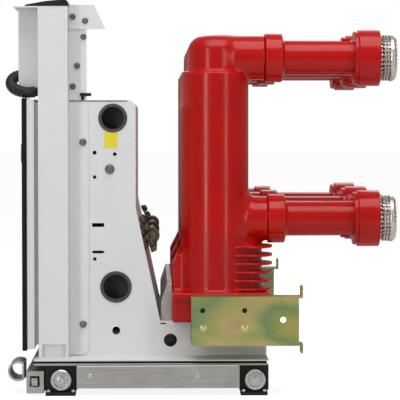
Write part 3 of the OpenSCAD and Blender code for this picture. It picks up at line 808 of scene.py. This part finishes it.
one_finger = finger()
moved_finger = moved(one_finger, (-30 * MM, 0, 0))
fingers = ring_of(moved_finger, silver, 30, 30 * MM, (0, 0, 0))
root = turned(rounded([(0, 276.5 * MM), (36.6 * MM, 276.5 * MM), (36.6 * MM, 283 * MM), (33 * MM, 285 * MM),
                       (33 * MM, 304 * MM), (29 * MM, 304 * MM), (29 * MM, 281 * MM), (0, 281 * MM)],
                      0.8 * MM), 72, "X")
coil = turned(rounded([(0, -1.0 * MM), (1.9 * MM, -0.6 * MM), (1.9 * MM, 0.6 * MM), (0, 1.0 * MM)], 0.4 * MM), 10)
coil.transform(Matrix.Rotation(math.pi / 2, 4, "X"))
springs = [ring_of(coil, silver, 72, 37.7 * MM, (x * MM, 0, 0)) for x in (313, 318)]
cores = [hoop(37.4 * MM, 1.2 * MM, x * MM) for x in (313, 318)]
guide_outline = [(36.3 * MM, 321.5 * MM), (39.4 * MM, 321.5 * MM), (40.4 * MM, 324 * MM), (40.2 * MM, 328 * MM),
                 (37.8 * MM, 331.4 * MM), (36.3 * MM, 331.4 * MM), (36.3 * MM, 321.5 * MM)]
guide_section = rounded(guide_outline, 0.8 * MM)
guide_section[-1] = guide_section[0]
guide = turned(guide_section, 72, "X")
print("finger faces", len(one_finger.polygons), "fingers", len(fingers.polygons))

# %% Fit the arms
clip_mesh = block((240 * MM, -5 * MM, 27 * MM), (256 * MM, 5 * MM, 33 * MM), 1 * MM)
for level, start, clip_turn in (("upper", 109 * MM, 0), ("lower", 114 * MM, math.pi)):
    height = OUTLET[level]
    arm_outline, shield_outline = arm_sections(start)
    arm_mesh = turned(arm_outline, 72, "X")
    shield_mesh = turned(shield_outline, 72, "X")
    clip = clip_mesh.copy()
    clip.transform(Matrix.Rotation(clip_turn, 4, "X"))
    tulip_mesh = joined([fingers, root, guide, *springs, *cores])
    for side, across in poles.items():
        offset = (0, across, height)
        arm = joined([arm_mesh, clip])
        smooth_by_angle(arm, 50)
        add_object(f"{level}_arm_sleeve_{side}", moved(arm, offset), epoxy,
                   stands_for=[f"{level}_arm_{side}"])
        add_object(f"{level}_shield_cup_{side}", moved(shield_mesh, offset), epoxy,
                   stands_for=[f"{level}_shields"])
        tulip = moved(tulip_mesh, offset)
        smooth_by_angle(tulip, 40)
        add_object(f"{level}_tulip_fingers_{side}", tulip, silver,
                   stands_for=[f"{level}_tulip_{side}"])
print("arms fitted at", [round(OUTLET[k], 4) for k in ("upper", "lower")])

# %% [markdown]
# ## Screws, rivets and nuts
# A dozen kinds of fixing hold the sheet metal together. Each kind is one small shape, and the
# tree puts it at every place it is used, facing out of the sheet.


# %% Shapes of fixings
def hex_bolt(width, head, washer=True):
    """A hexagon head on a washer, its seat on the plane."""
    parts = []
    radius = width / 2 / math.cos(math.pi / 6)
    low = 0.0
    if washer:
        parts.append(turned(rounded([(0, -0.2 * MM), (radius * 1.25, -0.2 * MM), (radius * 1.25, 1 * MM),
                                     (0, 1 * MM)], 0.3 * MM), 32))
        low = 0.8 * MM
    nut = turned([(0, low), (radius, low), (radius, low + head * 0.85), (radius * 0.86, low + head),
                  (0, low + head)], 6)
    parts.append(nut)
    return joined(parts)


def pan_rivet(radius, head):
    """A domed rivet head with a dimple."""
    outline = [(0, -0.2 * MM), (radius, -0.2 * MM), (radius, head * 0.35), (radius * 0.8, head * 0.85),
               (radius * 0.45, head), (radius * 0.35, head * 0.6), (0, head * 0.55)]
    return turned(rounded(outline, 0.3 * MM), 28)


def socket_screw(radius, head):
    """A cheese head with a round socket."""
    outer = turned(rounded([(0, -0.2 * MM), (radius, -0.2 * MM), (radius, head), (radius * 0.55, head),
                            (radius * 0.5, head * 0.45), (0, head * 0.45)], 0.4 * MM), 32)
    return outer


def both_sides(places):
    """The same places mirrored to the far side, each facing outward."""
    mirrored = [((x, -y, z), (dx, -dy, dz)) for (x, y, z), (dx, dy, dz) in places]
    return places + mirrored


def on_side(y, spots):
    """Places on an upright face at -y that faces outward, given as (x, z) in millimetres."""
    return [((x * MM, -y * MM, z * MM), (0, -1, 0)) for x, z in spots]


def fix(name, places, shape, finish, body=TRUCK):
    """Adds a set of fixings as one piece."""
    mesh = at(places, shape, finish)
    smooth_by_angle(mesh, 35)
    return add_object(name, mesh, finish, body)


FRAME_BOLTS = on_side(252.6, [(-202.3, 422.7), (-202.5, 112.8)])
fix("frame_bolts", both_sides(FRAME_BOLTS), hex_bolt(8.4 * MM, 3.2 * MM), grey_steel)
fix("hinge_bolts", both_sides(on_side(250, [(-157, 376.8)])), hex_bolt(11.5 * MM, 4 * MM), grey_steel)
FLANGE_BOLTS = (on_side(252.5, [(-219.3, 635), (-198, 628)])
                + on_side(250, [(-201, 601), (-212, 552), (-219.3, 517)]))
fix("flange_bolts", FLANGE_BOLTS, hex_bolt(7.4 * MM, 3 * MM), grey_steel)
BRACKET_SPOTS = [(0.2, 114.5), (68.8, 114.5)]
fix("bracket_bolts", both_sides(on_side(339.6, BRACKET_SPOTS)), pan_rivet(5.6 * MM, 0.9 * MM), pale_gold)
# Solid nuts behind the two holes in each bracket's web, made black so that each hole shows a dark disc: the black
# is painted shade in the holes.
nuts_painted_shade = [((x * MM, -336.8 * MM, 144 * MM), (0, 1, 0)) for x in (-1, 68.5)]
fix("bracket_weld_nuts", both_sides(nuts_painted_shade), hex_bolt(15 * MM, 9 * MM, False), black_steel)
pins = [((x * MM, -329.4 * MM, 27 * MM), (0, -1, 0)) for x in (-237, 87)]
fix("axle_caps", both_sides(pins), pan_rivet(6.3 * MM, 0.6 * MM), bright)
RAIL_SPOTS = [(-188, 33.4), (-9, 33.9)]
fix("rail_rivets", both_sides(on_side(326, RAIL_SPOTS)), pan_rivet(4.6 * MM, 2 * MM), bright)
foot_bolts = [((x * MM, -(y * MM), 6.5 * MM), (0, 0, 1)) for x in (-258, -217, 68, 103) for y in (318,)]
fix("foot_bolts", both_sides(foot_bolts), socket_screw(3.6 * MM, 3.4 * MM), bright)
LINK_SPOTS = [(-103, 288, 9), (-97, 276, 8), (-104, 268, 9), (-96, 258, 9), (-88, 250, 10), (-99, 246, 8)]
links = [((x * MM, -232 * MM, z * MM), (0.8, -0.35, 0.4)) for x, z, _ in LINK_SPOTS]
fix("shaft_linkage", both_sides(links), hex_bolt(11 * MM, 6 * MM), dark_steel)
print("fixings set")

# %% [markdown]
# ## Sheet metal of the mechanism
# The side plates carry the lifting holes, some small holes for fixings and two slots. Holes are
# cut through the real thickness, so their edges throw a shadow as they should. The edges are
# rounded last.


# %% Cutting holes
def cut(mesh, cutters):
    """The mesh with every cutter taken away."""
    maker = temporary(mesh)
    tools = temporary(joined(cutters))
    knife = maker.modifiers.new("cut", "BOOLEAN")
    knife.operation = "DIFFERENCE"
    knife.solver = "EXACT"
    knife.object = tools
    made = evaluated_mesh(maker)
    bpy.data.objects.remove(tools)
    return made


def round_hole(x, z, radius, low=-400, high=-240):
    """A drill through an upright plate, in millimetres."""
    rod = turned([(0, low * MM), (radius * MM, low * MM), (radius * MM, high * MM), (0, high * MM)], 28)
    rod.transform(Matrix.Translation((x * MM, 0, z * MM)) @ Matrix.Rotation(-math.pi / 2, 4, "X"))
    return rod


def slot_hole(x_from, x_to, z, half, low=-400, high=-240):
    """A punch for a narrow slot through an upright plate, in millimetres."""
    return block((x_from * MM, low * MM, (z - half) * MM), (x_to * MM, high * MM, (z + half) * MM),
                 0.9 * half * MM)


def mirrored(mesh):
    """The mesh on the far side, its normals kept outward."""
    made = mesh.copy()
    made.transform(Matrix.Scale(-1, 4, (0, 1, 0)))
    made.flip_normals()
    return made


side_holes = [round_hole(-182.5, 404.9, 3.4), round_hole(-148.3, 402.3, 3.2), round_hole(-182.6, 363.3, 3.0),
              round_hole(-182.6, 223.9, 3.0), slot_hole(-187, -166.6, 235.8, 2.4),
              slot_hole(-71.5, -61, 113.5, 1.2)]
for side in ("right", "left"):
    cutters = side_holes if side == "right" else [mirrored(m) for m in side_holes]
    plate = bevelled(cut(clean_copy(f"side_plate_{side}"), cutters), 0.7 * MM)
    add_object(f"side_plate_{side}_finished", plate, powder,
               stands_for=[f"side_plate_{side}"])

# %% Overlap plates on the mechanism's sides
def upright_plate(outline, y_in, y_out, edge=0.5 * MM):
    """A sheet standing along X and Z, from its outline in millimetres."""
    shape = bmesh.new()
    rows = [[shape.verts.new((x * MM, y * MM, z * MM)) for x, z in outline] for y in (y_in, y_out)]
    shape.faces.new(rows[0])
    shape.faces.new(list(reversed(rows[1])))
    for i in range(len(outline)):
        j = (i + 1) % len(outline)
        shape.faces.new((rows[0][j], rows[0][i], rows[1][i], rows[1][j]))
    bmesh.ops.recalc_face_normals(shape, faces=shape.faces)
    mesh = bpy.data.meshes.new("plate")
    shape.to_mesh(mesh)
    shape.free()
    return bevelled(mesh, edge)


corner = [(-209 + 17 * math.cos(a), 77 + 17 * math.sin(a)) for a in np.linspace(0, -math.pi / 2, 9)]
overlap = upright_plate([(-226, 488), (-192, 488)] + corner + [(-226, 60)], -250, -252.2)
label = upright_plate([(-166, 413), (-143.6, 413), (-143.6, 441), (-166, 441)], -250, -250.5, 0.15 * MM)
lid_seam = upright_plate([(-225, 491.6), (-127, 491.6), (-127, 493.2), (-225, 493.2)], -249.5, -250.6, 0.2 * MM)
tag_paint = coated("yellow_tag", (0.86, 0.72, 0.03), (0.80, 0.64, 0.02), 60.0, 0.4, 0.5, 1500.0, 0.1)
for side, shape_of in (("right", lambda m: m), ("left", mirrored)):
    add_object(f"overlap_plate_{side}", shape_of(overlap), powder)
    add_object(f"lifting_tag_{side}", shape_of(label), tag_paint)
    add_object(f"lid_seam_{side}", shape_of(lid_seam), dark_steel)
clip = block((-207 * MM, -254 * MM, 500.5 * MM), (-188 * MM, -250 * MM, 506 * MM), 1 * MM)
clip_pin = block((-205 * MM, -252 * MM, 494 * MM), (-200 * MM, -247.4 * MM, 504 * MM), 0.8 * MM)
add_object("lid_clip", joined([clip, clip_pin]), black_steel)

# %% [markdown]
# ## The rest of the sheet metal and the truck
# Every other piece keeps its construction shape with rounded edges. The table says which finish
# each piece has, how wide its edge is and which repaintable slot it belongs to.

# %% Table of finishes
GREY, BLACK = (powder, "frame_paint"), (black_moulding, "black_plastic")
ZINC, GOLD = (zinc, "zinc_plate"), (chromate, "chromate_plate")
DARK, SHINE = (dark_steel, "bare_steel"), (bright, "bright_steel")
STEEL, RUBBER = (black_steel, "black_steel"), (rubber, "black_rubber")
CUP = (cup_black, "black_steel")
SHEET, BAR = 0.7 * MM, 0.9 * MM
table = {
    "mechanism_lid": (GREY, SHEET), "rear_cover": (GREY, SHEET), "base_tray": (GREY, SHEET),
    "pole_beam": (ZINC, BAR), "drive_shaft": (DARK, SHEET), "drive_levers": (DARK, SHEET),
    "post_left": (GREY, SHEET), "post_right": (GREY, SHEET), "front_panel": (GREY, SHEET),
    "back_panel": (GREY, SHEET), "upper_box": (GREY, SHEET), "top_plate": (GREY, 0.4 * MM),
    "top_cap": (STEEL, SHEET), "rear_flange": (GREY, 0.5 * MM),
    "front_cover": (GREY, BAR), "front_fascia": (BLACK, 1.5 * MM),
    "lifting_cups_left": (CUP, SHEET), "lifting_cups_right": (CUP, SHEET),
    "shutter_bracket_left": (GOLD, SHEET), "shutter_bracket_right": (GOLD, SHEET),
    "truck_deck": (ZINC, SHEET), "isolating_strips": (RUBBER, SHEET), "truck_rail_left": (ZINC, SHEET),
    "truck_rail_right": (ZINC, SHEET), "truck_front_member": (ZINC, SHEET), "truck_rear_member": (ZINC, SHEET),
    "wheel_housings_left": (STEEL, SHEET), "wheel_housings_right": (STEEL, SHEET),
    "racking_beam": (ZINC, SHEET), "guide_arms": (ZINC, BAR), "racking_screw": (SHINE, SHEET),
    "latch_handle_left": (ZINC, SHEET), "latch_handle_right": (ZINC, SHEET)}
for node, ((finish, slot_name), width) in table.items():
    soften(node, finish, width)
print(len(table), "pieces finished from the construction model")


# %% [markdown]
# ## Controls on the fascia
# The fascia is one black moulding. Its two push buttons, three windows, name plate and charging
# socket are separate mouldings, so each has a colour and a rounded edge of its own.

# %% Fascia controls
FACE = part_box("front_fascia")[0].x
bezel_grey = coated("bezel_grey", (0.16, 0.16, 0.165), (0.13, 0.13, 0.135), 30.0, 0.35, 0.5, 1500.0, 0.2)
pane = coated("pale_pane", (0.62, 0.64, 0.62), (0.55, 0.57, 0.55), 25.0, 0.12, 0.2, 1500.0, 0.05)
green = coated("green_button", (0.02, 0.22, 0.05), (0.015, 0.17, 0.04), 30.0, 0.25, 0.4, 1500.0, 0.1)
red = coated("red_button", (0.45, 0.012, 0.010), (0.38, 0.008, 0.008), 30.0, 0.25, 0.4, 1500.0, 0.1)
cap_section = rounded([(0, 0), (15 * MM, 0), (15 * MM, 5.5 * MM), (0, 7 * MM)], 1.5 * MM)
collar_section = rounded([(0, 0), (18 * MM, 0), (17 * MM, 3 * MM), (0, 3 * MM)], 0.8 * MM)
BUTTON_Z = 400 * MM
collars = []
for name, finish, across in (("close_button", green, 70 * MM), ("open_button", red, 160 * MM)):
    seat = (FACE, across, BUTTON_Z)
    add_object(name, turned(cap_section, 48, "-X", seat), finish)
    collars.append(turned(collar_section, 48, "-X", seat))
frames = [block((FACE - 3 * MM, y * MM - 26 * MM, 388 * MM), (FACE, y * MM + 26 * MM, 420 * MM), 1 * MM)
          for y in (-60, -150, -230)]
panes = [block((FACE - 3.6 * MM, y * MM - 20 * MM, 393 * MM), (FACE - 2 * MM, y * MM + 20 * MM, 415 * MM),
               0.5 * MM) for y in (-60, -150, -230)]
plate = block((FACE - 2 * MM, 60 * MM, 300 * MM), (FACE, 170 * MM, 340 * MM), 0.6 * MM)
socket_outline = [(15 * MM, 0), (24 * MM, 0), (22.5 * MM, 5 * MM), (15 * MM, 5 * MM), (15 * MM, 0)]
socket_section = rounded(socket_outline, 0.8 * MM)
socket_section[-1] = socket_section[0]
socket_ring = turned(socket_section, 48, "-X", (FACE, -150 * MM, 330 * MM))
add_object("control_bezels", joined(collars + frames), bezel_grey,
           stands_for=["front_controls"])
add_object("window_panes", joined(panes), pane)
add_object("rating_plate", plate, bright)
add_object("charging_socket", socket_ring, bright)
print("fascia dressed at x", round(FACE, 4))


# %% Wheels
def wheel(name):
    """A turned roller: a broad rim, a recess and a hub, on a fixed pin."""
    low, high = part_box(name)
    middle = (low + high) / 2
    out = -1 if middle.y < 0 else 1
    half = (high.y - low.y) / 2
    radius = (high.z - low.z) / 2
    outline = [(6.1 * MM, -half), (radius - 1 * MM, -half), (radius, -half + 1.2 * MM), (radius, half - 1.6 * MM),
               (radius - 1.6 * MM, half), (12.6 * MM, half), (11.4 * MM, half - 3 * MM), (8.6 * MM, half - 3 * MM),
               (8.2 * MM, half - 0.8 * MM), (6.1 * MM, half - 0.8 * MM)]
    section = rounded(outline + [outline[0]], 0.5 * MM)
    section[-1] = section[0]
    mesh = turned(section, 64, "Y" if out > 0 else "-Y", middle)
    return add_object(f"{name}_turned", mesh, bright, name, [name])


for name in ("wheel_front_left", "wheel_front_right", "wheel_rear_left", "wheel_rear_right"):
    wheel(name)

# %% [markdown]
# ## The conduit
# The control cable leaves the mechanism in a ribbed plastic conduit. A curve through the route
# is resampled finely, its radius follows a wave, and a circle is swept along it.

# %% Ribbed conduit
ribbing, rib_in, rib_out = geometry_tree(
    "ribbed_conduit", [("Finish", "NodeSocketMaterial"), ("Radius", "NodeSocketFloat"),
                       ("Ribs per Metre", "NodeSocketFloat")])
fine = ribbing.nodes.new("GeometryNodeResampleCurve")
fine.mode = "LENGTH"
fine.inputs["Length"].default_value = 0.5 * MM
ribbing.links.new(rib_in.outputs["Geometry"], fine.inputs["Curve"])
along = ribbing.nodes.new("GeometryNodeSplineParameter")
phase = ribbing.nodes.new("ShaderNodeMath")
phase.operation = "MULTIPLY"
ribbing.links.new(along.outputs["Length"], phase.inputs[0])
ribbing.links.new(rib_in.outputs["Ribs per Metre"], phase.inputs[1])
turn = ribbing.nodes.new("ShaderNodeMath")
turn.operation = "MULTIPLY"
turn.inputs[1].default_value = 2 * math.pi
ribbing.links.new(phase.outputs[0], turn.inputs[0])
wave = ribbing.nodes.new("ShaderNodeMath")
wave.operation = "SINE"
ribbing.links.new(turn.outputs[0], wave.inputs[0])
swell = ribbing.nodes.new("ShaderNodeMath")
swell.operation = "MULTIPLY_ADD"
swell.inputs[1].default_value = 0.045
swell.inputs[2].default_value = 0.955
ribbing.links.new(wave.outputs[0], swell.inputs[0])
round_profile = ribbing.nodes.new("GeometryNodeCurvePrimitiveCircle")
round_profile.inputs["Resolution"].default_value = 28
ribbing.links.new(rib_in.outputs["Radius"], round_profile.inputs["Radius"])
sweep = ribbing.nodes.new("GeometryNodeCurveToMesh")
ribbing.links.new(fine.outputs[0], sweep.inputs["Curve"])
ribbing.links.new(round_profile.outputs[0], sweep.inputs["Profile Curve"])
ribbing.links.new(swell.outputs[0], sweep.inputs["Scale"])
sweep.inputs["Fill Caps"].default_value = True
close_tree(ribbing, sweep.outputs[0], rib_in, rib_out)


def conduit_mesh():
    """The swept and ribbed conduit along its route."""
    route = [(-283, -233, 536), (-303, -236, 537), (-321, -242, 530), (-322, -252, 518), (-303, -262, 507.5),
             (-282, -262, 507.5)]
    data = bpy.data.curves.new("route", "CURVE")
    data.dimensions = "3D"
    spline = data.splines.new("BEZIER")
    spline.bezier_points.add(len(route) - 1)
    for point, place in zip(spline.bezier_points, route):
        point.co = [c * MM for c in place]
        point.handle_left_type = point.handle_right_type = "AUTO"
    spline.resolution_u = 16
    maker = temporary(data, "route")
    modifier = maker.modifiers.new("ribs", "NODES")
    modifier.node_group = ribbing
    values = {"Finish": hose_black, "Radius": 9.8 * MM, "Ribs per Metre": 240.0}
    for item in ribbing.interface.items_tree:
        if item.item_type == "SOCKET" and item.in_out == "INPUT" and item.name in values:
            modifier[item.identifier] = values[item.name]
    made = evaluated_mesh(maker)
    shape = bmesh.new()
    shape.from_mesh(made)
    bmesh.ops.remove_doubles(shape, verts=shape.verts, dist=1e-6)
    bmesh.ops.recalc_face_normals(shape, faces=shape.faces)
    shape.to_mesh(made)
    shape.free()
    smooth_by_angle(made, 60)
    return made


hose = conduit_mesh()
add_object("ribbed_conduit", hose, hose_black, stands_for=["conduit"])
gland_section = rounded([(0, 0), (8.2 * MM, 0), (8.2 * MM, 7 * MM), (7.2 * MM, 9 * MM), (7.2 * MM, 20 * MM),
                         (0, 20 * MM)], 0.8 * MM)
gland = turned(gland_section, 24, "X", (-296 * MM, -262 * MM, 507.5 * MM))
add_object("conduit_gland", gland, black_moulding)
print("conduit faces", len(hose.polygons))
